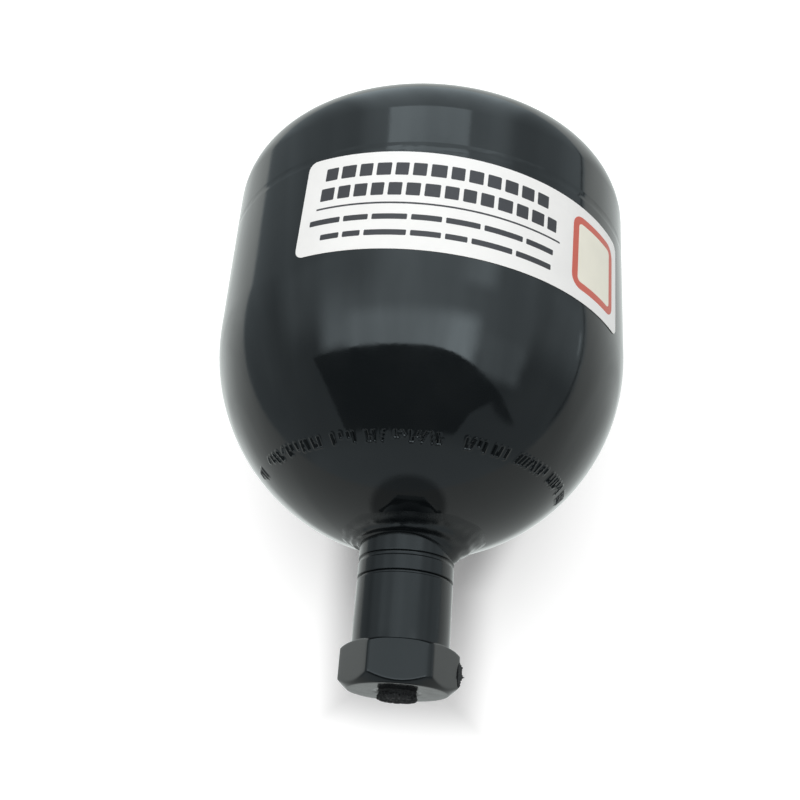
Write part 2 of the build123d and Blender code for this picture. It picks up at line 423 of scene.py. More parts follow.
addPiece("lowerShell", makeLowerShell(), bodyPaint, "vessel", "black_paint", "lower_shell")
print("lower shell done")


# Upper shell and the girth weld

def makeUpperShell():
    hole = 16.0 + vessel["weldGap"]
    headInside = crownTop
    crown = vessel["crownRadius"]
    thin = vessel["headWall"]
    outerEnd = math.degrees(math.acos(hole / crown))
    innerEnd = math.degrees(math.acos(hole / (crown - thin)))
    straightInner = bodyRadius - thin
    outline = [(recessRadius, seamMiddle + 0.75), (bodyRadius, seamHigh)]
    outline += line((bodyRadius, seamHigh), (bodyRadius, shoulder), 3)[1:]
    outline += arc((knuckleOut, shoulder), vessel["knuckleRadius"], 0, knuckleEnd, 30)
    outline += arc((0, crownCentre), crown, knuckleEnd, outerEnd, 24)
    outline += [(hole, crownCentre + math.sqrt(crown ** 2 - hole ** 2))]
    outline += [(hole, crownCentre + math.sqrt((crown - thin) ** 2 - hole ** 2))]
    outline += arc((0, crownCentre), crown - thin, innerEnd, knuckleEnd, 14)[1:]
    outline += arc((knuckleOut, shoulder), vessel["knuckleRadius"] - thin, knuckleEnd, 0, 14)
    outline += [(straightInner, seamMiddle + 5.0), (recessRadius, seamMiddle + 5.0)]
    return turnedMesh("upperShell", outline, azimuths((-180, 180, 0.8)))


girthSeam = {"hollow": 0.05, "grinding": 0.03, "seed": 5}


def groundFace(radius, height, around):
    # The weld is ground nearly flush: hollow by a hair, with the grinder's uneven passes.
    outer = radius > bodyRadius - 0.5
    across = np.clip((height - seamLow) / (seamHigh - seamLow), 0, 1)
    points = placeAround(radius, height, around)
    rough = lumps(points, 2.6, girthSeam["seed"]) * girthSeam["grinding"]
    sunk = girthSeam["hollow"] * np.sin(across * math.pi)
    return np.where(outer, radius - sunk + rough * np.sin(across * math.pi), radius), height


def makeGirthWeld():
    outline = line((bodyRadius, seamLow), (bodyRadius, seamHigh), 10)
    outline += [(bodyRadius, seamHigh), (recessRadius, seamMiddle + 0.75), (recessRadius, seamMiddle - 0.75)]
    return turnedMesh("girthWeld", outline, azimuths((-180, 180, 0.8)), groundFace)


addPiece("upperShell", makeUpperShell(), bodyPaint, "vessel", "black_paint", "upper_shell")
addPiece("girthWeld", makeGirthWeld(), bodyPaint, "vessel", "black_paint", "girth_weld")
print("upper shell and girth weld done")


# Port fitting: hexagon, grooved neck, threaded port

fitting = {
    "acrossFlats": 32.0,
    "hexHeight": 13.0,
    "turn": -1.5,
    "cornerRadius": 1.1,
    "wornRadius": 3.4,      # the corner right of the front flat, rounded by wrenches
    "edgeSoftness": 0.26,
    "endCircle": 15.3,
    "lowerAngle": 40.0,
    "upperAngle": 22.0,
    "upperBulge": 2.0,
    "grooves": ((33.3, 0.85, 0.75), (39.0, 1.45, 0.7)),    # height, width, depth
    "bore": 5.9,
    "threadPitch": 1.337,
    "threadDepth": 0.62,
    "threadEnd": 14.0,
    "countersink": 0.45,
    "passage": 4.0,
    "seatChamfer": 1.0,
}


def hexRadius(around):
    # Distance from the axis to the hexagon's side. Flats face -Y and +Y, and the corners are round.
    flat = fitting["acrossFlats"] / 2
    turned = np.degrees(around) - fitting["turn"]
    fromFlat = np.mod(turned + 90 + 30, 60) - 30
    fromCorner = np.radians(30 - np.abs(fromFlat))
    worn = np.abs(np.mod(turned + 60 + 180, 360) - 180) < 30
    rounding = np.where(worn, fitting["wornRadius"], fitting["cornerRadius"])
    middle = (flat - rounding) / math.cos(math.radians(30))
    side = flat / np.cos(np.radians(fromFlat))
    inside = np.maximum(rounding ** 2 - (middle * np.sin(fromCorner)) ** 2, 0)
    corner = middle * np.cos(fromCorner) + np.sqrt(inside)
    tangent = np.arctan2(rounding * 0.5, middle + rounding * math.cos(math.radians(30)))
    return np.where(fromCorner < tangent, corner, side)


def triangleWave(value):
    return np.abs(np.mod(value, 1) - 0.5) * 2


def shapeFitting(radius, height, around):
    outside = radius > 9
    hexPart = outside & (height < fitting["hexHeight"] - 0.001)
    cut = softMin(radius, hexRadius(around), fitting["edgeSoftness"])
    radius = np.where(hexPart & (height > 0.001), cut, radius)
    radius = np.where(hexPart & (height <= 0.001), np.minimum(radius, hexRadius(around)), radius)
    # The port's thread, cut outward from the bore, fades out at both ends
    turns = height / fitting["threadPitch"] - around / (2 * math.pi)
    fade = smooth(height, 0.6, 1.9) * (1 - smooth(height, fitting["threadEnd"] - 2.6, fitting["threadEnd"] - 0.9))
    threaded = (np.abs(radius - fitting["bore"]) < 0.01) & (height < fitting["threadEnd"] - 0.01)
    groove = np.clip(triangleWave(turns) * 1.25 - 0.12, 0, 1) * fitting["threadDepth"] * fade
    return np.where(threaded, radius + groove, radius), height


def neckOutline(low, high):
    # The neck's side, with closely spaced points in and beside each groove.
    heights = set(np.linspace(low, high, 12).tolist())
    for height, width, depth in fitting["grooves"]:
        heights |= set(np.linspace(height - width, height + width, 15).tolist())
    outline = []
    for z in sorted(heights):
        radius = vessel["neckRadius"]
        for height, width, depth in fitting["grooves"]:
            radius -= depth * float(1 - smooth(abs(z - height), width / 2 - 0.22, width / 2 + 0.16))
        outline.append((radius, z))
    return outline


def makeFitting():
    end = fitting["endCircle"]
    corner = fitting["acrossFlats"] / math.sqrt(3)
    rise = (corner - end) * math.tan(math.radians(fitting["lowerAngle"]))
    drop = (corner - vessel["neckRadius"]) * math.tan(math.radians(fitting["upperAngle"]))
    top = fitting["hexHeight"]
    bore = fitting["bore"]
    passage = fitting["passage"]
    chamfer = fitting["seatChamfer"]
    outline = line((bore + fitting["countersink"], 0), (end - 0.25, 0), 6)
    outline += [(end - 0.25, 0), (end - 0.07, 0.02), (end, 0.09)]
    outline += line((end + 0.12, 0.12), (corner + 0.05, rise + 0.05), 15)
    outline += line((corner + 0.05, rise + 0.05), (corner + 0.05, top - drop), 8)
    shares = np.linspace(0, 1, 20)
    reach = corner + 0.05 - vessel["neckRadius"] - 0.35
    outline += [(vessel["neckRadius"] + 0.35 + reach * v, top - 0.12 - (drop - 0.11) * v ** fitting["upperBulge"])
                for v in shares[::-1]]
    outline += [(vessel["neckRadius"] + 0.16, top - 0.02), (vessel["neckRadius"] + 0.03, top + 0.14)]
    outline += neckOutline(top + 0.4, neckTop - 0.4)
    outline += [(vessel["neckRadius"], neckTop), (passage + chamfer, neckTop), (passage, neckTop - chamfer)]
    outline += [(passage, fitting["threadEnd"] + bore - passage), (bore, fitting["threadEnd"])]
    outline += line((bore, fitting["threadEnd"] - 0.1), (bore, fitting["countersink"]), 92)
    outline += [(bore, fitting["countersink"])]
    sectors = []
    for place in range(-180, 180, 60):
        place += fitting["turn"]
        sectors += [(place - 6, place - 2, 1.0), (place - 2, place + 2, 0.4), (place + 2, place + 6, 1.0)]
        sectors.append((place + 6, place + 54, 1.6))
    return turnedMesh("portFitting", outline, azimuths(*sectors), shapeFitting)


addPiece("portFitting", makeFitting(), fittingPaint, "vessel", "black_paint", "port_fitting")
print("port fitting done")


# Weld at the neck's root: an uneven bead that runs thick and sags on the right

neckWeld = {
    "toe": 44.6,            # height of its edge on the neck
    "sag": 4.6,             # how far the paint and bead run down on the right
    "sagMiddle": -14.0,
    "sagWidth": 42.0,
    "reach": 22.8,          # radius of its edge on the dome, and how much it varies
    "reachSwing": 2.7,
    "reachMiddle": -52.0,
    "bulge": 0.8,
    "ridges": 0.2,
    "lump": 0.16,
    "seed": 3,
}


def makeNeckWeld():
    around = azimuths((-180, 180, 1.0))
    share = np.linspace(0, 1, 34)[:, None]
    degrees = np.degrees(around)[None, :]
    off = np.mod(degrees - neckWeld["sagMiddle"] + 180, 360) - 180
    sag = np.exp(-(off / neckWeld["sagWidth"]) ** 2)
    toe = neckWeld["toe"] - neckWeld["sag"] * sag + 0.35 * np.sin(np.radians(degrees * 3 + 40))
    reach = neckWeld["reach"] + neckWeld["reachSwing"] * np.cos(np.radians(degrees - neckWeld["reachMiddle"]))
    reach = reach + 0.35 * np.sin(np.radians(degrees * 5)) + 0.25 * np.sin(np.radians(degrees * 11 + 60))
    neck = vessel["neckRadius"]
    topHeight = domeHeight(reach)
    # From the neck's toe to the dome's toe, hollow toward the corner and then filled by the bead
    cornerHeight = domeHeight(np.full_like(reach, neck + 1.6)) - 0.5
    radius = (1 - share) ** 2 * neck + 2 * share * (1 - share) * (neck + 1.3 + 1.2 * sag) + share ** 2 * reach
    height = (1 - share) ** 2 * toe + 2 * share * (1 - share) * cornerHeight + share ** 2 * topHeight
    swell = np.sin(math.pi * np.clip(share, 0, 1))
    wave = np.sin(share * math.pi * 5 + 0.6 * np.sin(np.radians(degrees * 2))) * neckWeld["ridges"]
    points = placeAround(radius, height, np.repeat(around[None, :], 34, axis=0))
    rough = lumps(points, 5.5, neckWeld["seed"], 2) * neckWeld["lump"]
    out = swell * (neckWeld["bulge"] * (0.5 + 0.9 * sag) + wave + rough)
    radius = radius + out * 0.62
    height = height - out * 0.78
    backRadius = np.repeat(np.full_like(reach, neck), 1, axis=0)
    backHigh = domeHeight(reach) + 0.5
    radius = np.concatenate([radius, reach - 0.4, backRadius + 0.0, backRadius])
    height = np.concatenate([height, backHigh, backHigh, toe + 0.3])
    turned = np.repeat(around[None, :], radius.shape[0], axis=0)
    return gridMesh("neckWeld", placeAround(radius, height, turned))


addPiece("neckWeld", makeNeckWeld(), weldPaint, "vessel", "black_paint", "neck_weld")


# A burr of dried paint on the hexagon's right corner

paintBurr = {"azimuth": -3.5, "low": 2.5, "high": 10.1, "radius": 17.9, "proud": 1.6, "width": 0.6, "seed": 21}


def makePaintBurr():
    share = np.linspace(0, 1, 46)
    ring = np.linspace(0, 2 * math.pi, 16, endpoint=False)
    height = paintBurr["low"] + (paintBurr["high"] - paintBurr["low"]) * share
    body = np.sin(math.pi * share) ** 0.5
    x = paintBurr["radius"] + np.outer(body, np.cos(ring)) * paintBurr["proud"] * 0.8
    y = np.outer(body, np.sin(ring)) * paintBurr["width"]
    z = np.repeat(height[:, None], len(ring), axis=1)
    points = np.stack([x, y, z], axis=-1)
    rough = lumps(points, 0.9, paintBurr["seed"], 4)
    fringe = np.clip(np.cos(ring), 0, 1)[None, :] * body[:, None]
    points[..., 0] += rough * fringe * 0.9
    points[..., 1] += rough * 0.16 * body[:, None]
    points[..., 2] += lumps(points, 0.7, paintBurr["seed"] + 1) * 0.25
    turn = math.radians(paintBurr["azimuth"])
    x, y = points[..., 0].copy(), points[..., 1].copy()
    points[..., 0] = x * math.cos(turn) - y * math.sin(turn)
    points[..., 1] = x * math.sin(turn) + y * math.cos(turn)
    points[0] = points[0].mean(axis=0)
    points[-1] = points[-1].mean(axis=0)
    return gridMesh("paintBurr", points, openSection=True, mergePoles=True)


addPiece("paintBurr", makePaintBurr(), tornPlastic, "vessel", "black_paint")
print("neck weld and paint burr done")


# Gas end: boss with its thread, weld bead

gasEnd = {
    "rootRadius": 16.0,
    "threadRadius": 14.0,
    "threadPitch": 1.5,
    "threadDepth": 0.9,
    "threadLength": 11.0,
    "chamfer": 1.2,
    "headBore": 9.1,
    "headDepth": 5.3,       # from the rim down to the screw head's seat
    "sealDepth": 2.1,
    "tapped": 6.5,
    "weldLeg": 4.0,
    "weldRise": 2.4,
    "ripple": 0.17,
    "rippleCount": 54,
}


def shapeBoss(radius, height, around):
    shoulderHeight = bossTop - gasEnd["threadLength"]
    turns = height / gasEnd["threadPitch"] - around / (2 * math.pi)
    fade = smooth(height, shoulderHeight + 0.5, shoulderHeight + 1.8)
    threaded = (np.abs(radius - gasEnd["threadRadius"]) < 0.01) & (height > shoulderHeight + 0.01)
    groove = np.clip(triangleWave(turns) * 1.25 - 0.12, 0, 1) * gasEnd["threadDepth"] * fade
    return np.where(threaded, radius - groove, radius), height


def makeGasBoss():
    shoulderHeight = bossTop - gasEnd["threadLength"]
    bottom = nodeBox("gas_boss")[0].z
    seat = bossTop - gasEnd["headDepth"]
    root, thread, chamfer = gasEnd["rootRadius"], gasEnd["threadRadius"], gasEnd["chamfer"]
    groove = gasEnd["tapped"] + gasEnd["sealDepth"]
    outline = [(gasEnd["tapped"], bottom), (root, bottom), (root, shoulderHeight - 0.3), (root - 0.3, shoulderHeight)]
    outline += [(thread, shoulderHeight)]
    outline += line((thread, shoulderHeight + 0.1), (thread, bossTop - chamfer), 84)
    outline += [(thread - 0.35, bossTop - chamfer), (thread - chamfer, bossTop), (gasEnd["headBore"] + 0.3, bossTop)]
    outline += [(gasEnd["headBore"], bossTop - 0.3), (gasEnd["headBore"], seat), (groove, seat)]
    outline += [(groove, seat - gasEnd["sealDepth"]), (gasEnd["tapped"], seat - gasEnd["sealDepth"])]
    return turnedMesh("gasBoss", outline, azimuths((-180, 180, 2.0)), shapeBoss)


def makeBossWeld():
    # A fillet bead with the scaled ripples of a hand-laid weld.
    around = azimuths((-180, 180, 0.75))
    share = np.linspace(0, 1, 16)[:, None]
    degrees = np.degrees(around)[None, :]
    root = gasEnd["rootRadius"]
    far = root + gasEnd["weldLeg"] + 0.25 * np.sin(np.radians(degrees * 4 + 25))
    crown = vessel["crownRadius"]
    farHeight = crownCentre + np.sqrt(crown ** 2 - far ** 2)
    rootHeight = crownCentre + math.sqrt(crown ** 2 - root ** 2)
    radius = far * (1 - share) + root * share
    height = farHeight * (1 - share) + (rootHeight + gasEnd["weldRise"]) * share
    phase = np.radians(degrees) * gasEnd["rippleCount"] + 2.2 * np.sin(math.pi * share)
    bead = np.sin(math.pi * share) * (0.55 + gasEnd["ripple"] * np.abs(np.sin(phase / 2)) * 2)
    radius = radius + bead * 0.55
    height = height + bead * 0.8
    radius = np.concatenate([radius, np.full((1, len(around)), root)])
    height = np.concatenate([height, np.full((1, len(around)), rootHeight - 0.1)])
    turned = np.repeat(around[None, :], radius.shape[0], axis=0)
    return gridMesh("bossWeld", placeAround(radius, height, turned))


addPiece("gasBoss", makeGasBoss(), fittingPaint, "vessel", "black_paint", "gas_boss")
addPiece("bossWeld", makeBossWeld(), weldPaint, "vessel", "black_paint", "boss_weld")
print("gas end done")


# Transit plug, torn off at its end

plug = {"radius": 5.6, "endRadius": 6.15, "stickOut": 2.4, "depth": 6.0, "taper": 0.2, "hollow": 3.5,
        "tear": 1.25, "seed": 31}


def makePlug():
    around = azimuths((-180, 180, 1.5))
    radius, end, deep = plug["radius"], -plug["stickOut"], plug["depth"]
    outline = line((0, end), (plug["endRadius"] - 0.05, end), 30)
    outline += line((plug["endRadius"], end + 0.05), (radius, -0.3), 14)
    outline += line((radius, -0.3), (radius, 0), 2)
    outline += line((radius, 0), (radius - plug["taper"], deep), 10)
    outline += [(radius - plug["taper"], deep), (plug["hollow"], deep), (plug["hollow"], deep / 3), (0, deep / 3)]

    def tear(radius, height, around):
        points = placeAround(radius, height, around)
        fine = lumps(points, 0.95, plug["seed"], 5)
        coarse = lumps(points, 2.8, plug["seed"] + 1, 3)
        proud = smooth(-height, -0.1, 1.2)
        rise = np.clip(0.15 + 0.4 * coarse + 1.1 * fine, 0, 1.0) * plug["tear"]
        ends = smooth(-height, plug["stickOut"] - 0.7, plug["stickOut"] - 0.05)
        rough = (0.55 * fine + 0.25 * coarse - 0.12) * proud * (radius > 3)
        return radius + np.minimum(rough, 0.3 * proud), height + rise * ends

    return turnedMesh("portPlug", outline, around, tear, openSection=True, mergePoles=True)


addPiece("portPlug", makePlug(), tornPlastic, "plug", "stopper_plastic", "port_plug")
print("transit plug done")


# Label with generic print, wrapped on the body a little askew

label = {
    "length": 115.9,
    "height": 34.4,
    "corner": 3.0,
    "middle": seamMiddle - 20.6,
    "azimuth": -77.05,
    "tilt": 2.7,
    "back": 0.02,           # above the paint
    "face": 0.15,
    "inkFace": 0.185,
}
printing = {
    # Rows of plain bars: (left, right, middle height, bar height, shortest, longest, gap)
    "rows": (
        (-51.0, 23.2, 10.9, 4.5, 3.9, 4.7, 1.3),
        (-51.8, 23.4, 3.7, 4.5, 3.9, 4.7, 1.3),
        (-54.2, 26.6, -6.1, 1.9, 5.0, 13.0, 1.2),
        (-49.6, 22.0, -11.6, 1.9, 5.0, 13.0, 1.2),
    ),
    "rule": (-52.6, 25.0, -1.3, 0.6),
    "frameMiddle": (42.4, 0.2),
    "frameSize": (23.5, 26.5),
    "frameWidth": 2.6,
    "frameCorner": 4.2,
    "seed": 8,
}


def wrappedPlate(left, right, low, high, corner, back, face):
    # A rounded rectangle on the label's own sheet, bent on to the body. Returns points and faces.
    half = (right - left) / 2
    middle = ((left + right) / 2, (low + high) / 2)
    count = max(4, int(half * 2 / 1.6))
    inner = np.linspace(-half + corner, half - corner, count)
    bow = corner * (1 - np.cos(np.linspace(0, math.pi / 2, 7)))[:-1]
    across = np.concatenate([-half + bow, inner, (half - bow)[::-1]])
    fromEnd = np.clip(corner - (half - np.abs(across)), 0, corner)
    tall = (high - low) / 2 - corner + np.sqrt(np.maximum(corner ** 2 - fromEnd ** 2, 0))
    rows = 3 if high - low < 6 else 9
    up = np.linspace(-1, 1, rows)[:, None] * tall[None, :] + middle[1]
    across = np.repeat(across[None, :], rows, axis=0) + middle[0]
    tilt = math.radians(label["tilt"])
    round_ = across * math.cos(tilt) + up * math.sin(tilt)
    height = label["middle"] + up * math.cos(tilt) - across * math.sin(tilt)
    around = math.radians(label["azimuth"]) + round_ / (bodyRadius + back)
    columns = across.shape[1]
    sheets = [placeAround(np.full_like(height, bodyRadius + lift), height, around) for lift in (face, back)]
    points = np.concatenate([sheet.reshape(-1, 3) for sheet in sheets])
    number = np.arange(rows * columns).reshape(rows, columns)
    under = number + rows * columns
    quads = [(number[:-1, :-1], number[:-1, 1:], number[1:, 1:], number[1:, :-1]),
             (under[:-1, :-1], under[1:, :-1], under[1:, 1:], under[:-1, 1:])]
    faces = np.concatenate([np.stack(q, axis=2).reshape(-1, 4) for q in quads])
    rim = np.concatenate([number[0, :], number[1:, -1], number[-1, -2::-1], number[-2:0:-1, 0]])
    nextRim = np.roll(rim, -1)
    edge = np.stack([nextRim, rim, rim + rows * columns, nextRim + rows * columns], axis=1)
    return points, np.concatenate([faces, edge])


def plateMesh(name, plates):
    points, faces, start = [], [], 0
    for platePoints, plateFaces in plates:
        points.append(platePoints)
        faces.append(plateFaces + start)
        start += len(platePoints)
    mesh = bpy.data.meshes.new(name)
    mesh.from_pydata((np.concatenate(points) * mm).tolist(), [], np.concatenate(faces).tolist())
    mesh.update()
    mesh.shade_smooth()
    mesh.set_sharp_from_angle(angle=math.radians(40))
    return mesh


def barPlates():
    draw = random.Random(printing["seed"])
    found = []
    for left, right, middle, tall, shortest, longest, gap in printing["rows"]:
        place = left
        while place < right - shortest * 0.6:
            end = min(place + draw.uniform(shortest, longest), right)
            if right - end < shortest * 0.6:
                end = right
            found.append(wrappedPlate(place, end, middle - tall / 2, middle + tall / 2, 0.35,
                                      label["face"] - 0.01, label["inkFace"]))
            place = end + gap
    left, right, middle, tall = printing["rule"]
    found.append(wrappedPlate(left, right, middle - tall / 2, middle + tall / 2, 0.1,
                              label["face"] - 0.01, label["inkFace"]))
    return found


def framePlate(inset, back, face):
    (x, y), (wide, tall) = printing["frameMiddle"], printing["frameSize"]
    corner = max(printing["frameCorner"] - inset, 0.8)
    return [wrappedPlate(x - wide / 2 + inset, x + wide / 2 - inset, y - tall / 2 + inset, y + tall / 2 - inset,
                         corner, back, face)]


halfLength, halfHeight = label["length"] / 2, label["height"] / 2
sheetPlate = [wrappedPlate(-halfLength, halfLength, -halfHeight, halfHeight, label["corner"],
                           label["back"], label["face"])]
addPiece("label", plateMesh("label", sheetPlate), whiteFilm, "vessel", "label_film", "label")
addPiece("labelBars", plateMesh("labelBars", barPlates()), darkInk, "vessel", "label_film")
framePlates = framePlate(0, label["face"] - 0.01, label["face"] + 0.015)
addPiece("labelFrame", plateMesh("labelFrame", framePlates), redInk, "vessel", "label_film")
panelPlates = framePlate(printing["frameWidth"], label["face"], label["inkFace"])
addPiece("labelPanel", plateMesh("labelPanel", panelPlates), creamInk, "vessel", "label_film")
print("label done")


# Diaphragm, hidden inside, from its clamped edge to the button, as one fixed mesh

diaphragm = {"wall": 2.5, "gap": 0.4, "bossRadius": 19.0, "bossTop": 60.5, "beadHeight": 6.0,
             "flatRadius": 15.4, "hollowRadius": 14.05}


def makeDiaphragm():
    outer = innerRadius - diaphragm["gap"]
    inner = outer - diaphragm["wall"]
    low, high = nodeBox("diaphragm")
    centre = (0, domeCentre)
    outerStart = -math.degrees(math.acos(diaphragm["flatRadius"] / outer))
    innerStart = -math.degrees(math.acos(diaphragm["bossRadius"] / inner))
    button = nodeBox("closure_button")[1].z
    outline = [(diaphragm["hollowRadius"], low.z + 0.05)]
    outline += [(diaphragm["flatRadius"], low.z + 0.05)]
    outline += arc(centre, outer, outerStart, 0, 40)[1:]
    outline += line((outer, domeCentre), (outer, ledge), 8)
    outline += [(outer, ledge), (high.x, ledge), (high.x, high.z)]
    outline += [(inner + 2.5, high.z), (inner + 2.5, high.z - 2.0), (inner, high.z - 2.0)]
    outline += line((inner, ledge), (inner, domeCentre), 8)
    outline += arc(centre, inner, 0, innerStart, 36)
    outline += [(diaphragm["bossRadius"], diaphragm["bossTop"]), (0.0, diaphragm["bossTop"])]
    outline += [(0.0, button + 0.05), (6.55, button + 0.05), (6.55, button - 1.5), (diaphragm["hollowRadius"], button - 2.95)]
    return turnedMesh("diaphragm", outline, azimuths((-180, 180, 3.0)), mergePoles=True)


membrane = addPiece("diaphragm", makeDiaphragm(), mouldedRubber, None, "rubber", "diaphragm")
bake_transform(membrane)
print("diaphragm done")


# CAD nodes that stay, with their finishes

keptNodes = {
    "clamp_ring": machinedSteel,
    "closure_button": machinedSteel,
    "charging_screw": zincPlate,
    "screw_seal": mouldedRubber,
}
for nodeName, material in keptNodes.items():
    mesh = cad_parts[nodeName].data
    mesh.materials.clear()
    mesh.materials.append(material)
print("kept nodes painted:", len(keptNodes))


# Stage: a pale wall where the photographed table is, and a pale floor for the views from above

stage = {
    "wallPlace": bodyRadius + 0.6,
    "wallHalf": 1500.0,
    "floorPlace": -62.0,
    "glow": 0.46,
    "farGlow": 1.0,         # from farReach on, so that the sheets end in plain white
    "nearReach": 150.0,
    "farReach": 420.0,
    # Painted shade: beside the neck, which stands close to the wall, the wall's glow is set low by place on the wall,
    # on top of the shadow the object casts
    "paintedShadeGlow": 0.04,
    "shadeMiddle": 2.5,
    "shadeReach": (16.5, 35.5),
    "shadeLow": (-6.0, 11.0),
    "shadeHigh": (82.0, 106.0),
    "shadeSpread": (50.0, 0.42),    # from this height on it widens on the right, by this slope
    "albedo": 0.96,
    "tint": colour(1.0, 1.0, 0.996),
}


def stageMaterial(name):
    # White to the camera, shaded by the object's cast shadow and by a painted shade beside the neck, and clear from
    # behind.
    material = bpy.data.materials.new(name)
    material.use_nodes = True
    tree = material.node_tree
    tree.nodes.clear()
    place = addNode(tree, "ShaderNodeTexCoord").outputs["Object"]
    parts = addNode(tree, "ShaderNodeSeparateXYZ", {0: place}).outputs
    # Painted shade: a band of low glow beside the neck, placed by position on the wall; it widens on the right higher
    # up and fades out below the port and higher up the wall
    side = calc(tree, "ABSOLUTE", calc(tree, "SUBTRACT", parts[0], stage["shadeMiddle"] * mm))
    start, slope = stage["shadeSpread"]
    spread = calc(tree, "MAXIMUM", calc(tree, "MULTIPLY_ADD", parts[2], slope, -start * slope * mm), 0.0)
    spread = calc(tree, "MULTIPLY", spread, ramp(tree, parts[0], -5 * mm, 5 * mm))
    clearOfPaintedShade = ramp(tree, calc(tree, "SUBTRACT", side, spread), *(v * mm for v in stage["shadeReach"]))
    clearOfPaintedShade = calc(tree, "MAXIMUM", clearOfPaintedShade, ramp(tree, parts[2], *(v * mm for v in stage["shadeLow"]), 1.0, 0.0))
    clearOfPaintedShade = calc(tree, "MAXIMUM", clearOfPaintedShade, ramp(tree, parts[2], *(v * mm for v in stage["shadeHigh"])))
    strength = mixLevel(tree, clearOfPaintedShade, stage["paintedShadeGlow"], stage["glow"])
    away = addNode(tree, "ShaderNodeVectorMath", {0: place, 1: (0, 0, domeCentre * mm)}, operation="DISTANCE")
    outer = ramp(tree, away.outputs["Value"], stage["nearReach"] * mm, stage["farReach"] * mm)
    strength = mixLevel(tree, outer, strength, stage["farGlow"])
    glow = addNode(tree, "ShaderNodeEmission", {"Color": stage["tint"], "Strength": strength})
    shade = colour(stage["albedo"], stage["albedo"], stage["albedo"])
    diffuse = addNode(tree, "ShaderNodeBsdfDiffuse", {"Color": shade})
    both = addNode(tree, "ShaderNodeAddShader", {0: glow.outputs[0], 1: diffuse.outputs[0]})
    clear = addNode(tree, "ShaderNodeBsdfTransparent")
    behind = addNode(tree, "ShaderNodeNewGeometry").outputs["Backfacing"]
    chosen = addNode(tree, "ShaderNodeMixShader", {0: behind, 1: both.outputs[0], 2: clear.outputs[0]})
    addNode(tree, "ShaderNodeOutputMaterial", {"Surface": chosen.outputs[0]})
    return material


def stageSheet(name, corners, material):
    mesh = bpy.data.meshes.new(name)
    mesh.from_pydata([tuple(v * mm for v in corner) for corner in corners], [], [(0, 1, 2, 3)])
    mesh.materials.append(material)
    sheet = bpy.data.objects.new(name, mesh)
    bpy.context.scene.collection.objects.link(sheet)
    sheet.visible_diffuse = False
    sheet.visible_glossy = False
    sheet.visible_transmission = False
    sheet.visible_shadow = False
    return sheet


paper = stageMaterial("paper")
far, wall, low = stage["wallHalf"], stage["wallPlace"], stage["floorPlace"]
stageSheet("wallSheet", [(-far, wall, -far), (far, wall, -far), (far, wall, far), (-far, wall, far)], paper)
stageSheet("floorSheet", [(-far, -far, low), (far, -far, low), (far, far, low), (-far, far, low)], paper)


# Light: a white tent round the object, drawn in the world by direction

tent = {
    "plainLevel": 0.56,     # what matt surfaces get from every side, beside the lamp
    "below": 0.58,          # the tent's walls, from the port's side up to the gas end's
    "beside": 0.42,
    "middle": 0.80,
    "above": 1.22,
    "farSide": 0.45,
    "upperSide": 0.62,
    "tableLow": 0.58,
    "tableHigh": 1.0,
    "softboxLow": 1.75,     # its left part, lower and upper end
    "softboxHigh": 0.92,
    "softbox": 1.58,
    "softboxRight": 1.02,
    "strip": 2.35,
    "stripRight": 3.2,
    "topLine": 2.3,
    "patch": 1.9,
    "shade": 0.13,          # right of the opening
    "opening": 0.13,
    "standing": 0.23,       # what stands beyond the port
    "horizon": 0.22,
    "glint": 2.0,
    "folds": 0.11,          # how much the tent's cloth varies in upright folds
    "coolTint": colour(0.86, 1.0, 1.06),
    "tableTint": colour(0.94, 1.0, 0.985),
    "neutral": colour(1.0, 1.0, 1.0),
}


def tentMap(tree):
    # Distance in degrees from -Y, split into a part toward +X and a part toward +Z.
    direction = addNode(tree, "ShaderNodeTexCoord").outputs["Generated"]
    parts = addNode(tree, "ShaderNodeSeparateXYZ", {0: direction}).outputs
    back = calc(tree, "MULTIPLY", parts[1], -1.0)
    angle = calc(tree, "MULTIPLY", calc(tree, "ARCCOSINE", back), 180 / math.pi)
    squares = calc(tree, "ADD", calc(tree, "MULTIPLY", parts[0], parts[0]),
                   calc(tree, "MULTIPLY", parts[2], parts[2]))
    spread = calc(tree, "MAXIMUM", calc(tree, "SQRT", squares), 0.001)
    scale = calc(tree, "DIVIDE", angle, spread)
    return angle, calc(tree, "MULTIPLY", parts[0], scale), calc(tree, "MULTIPLY", parts[2], scale)


def band(tree, value, low, high, edge):
    # 1 between low and high, with soft edges.
    rising = ramp(tree, value, low - edge, low + edge)
    falling = ramp(tree, value, high - edge, high + edge, 1.0, 0.0)
    return calc(tree, "MULTIPLY", rising, falling)


def area(tree, across, up, left, right, low, high, edge):
    return calc(tree, "MULTIPLY", band(tree, across, left, right, edge), band(tree, up, low, high, edge))


def oval(tree, across, up, middle, size, inner=0.75):
    # 1 inside an oval, with a soft rim.
    parts = [calc(tree, "DIVIDE", calc(tree, "SUBTRACT", value, centre), reach)
             for value, centre, reach in zip((across, up), middle, size)]
    squares = [calc(tree, "MULTIPLY", part, part) for part in parts]
    return ramp(tree, calc(tree, "ADD", *squares), inner, 1.15, 1.0, 0.0)


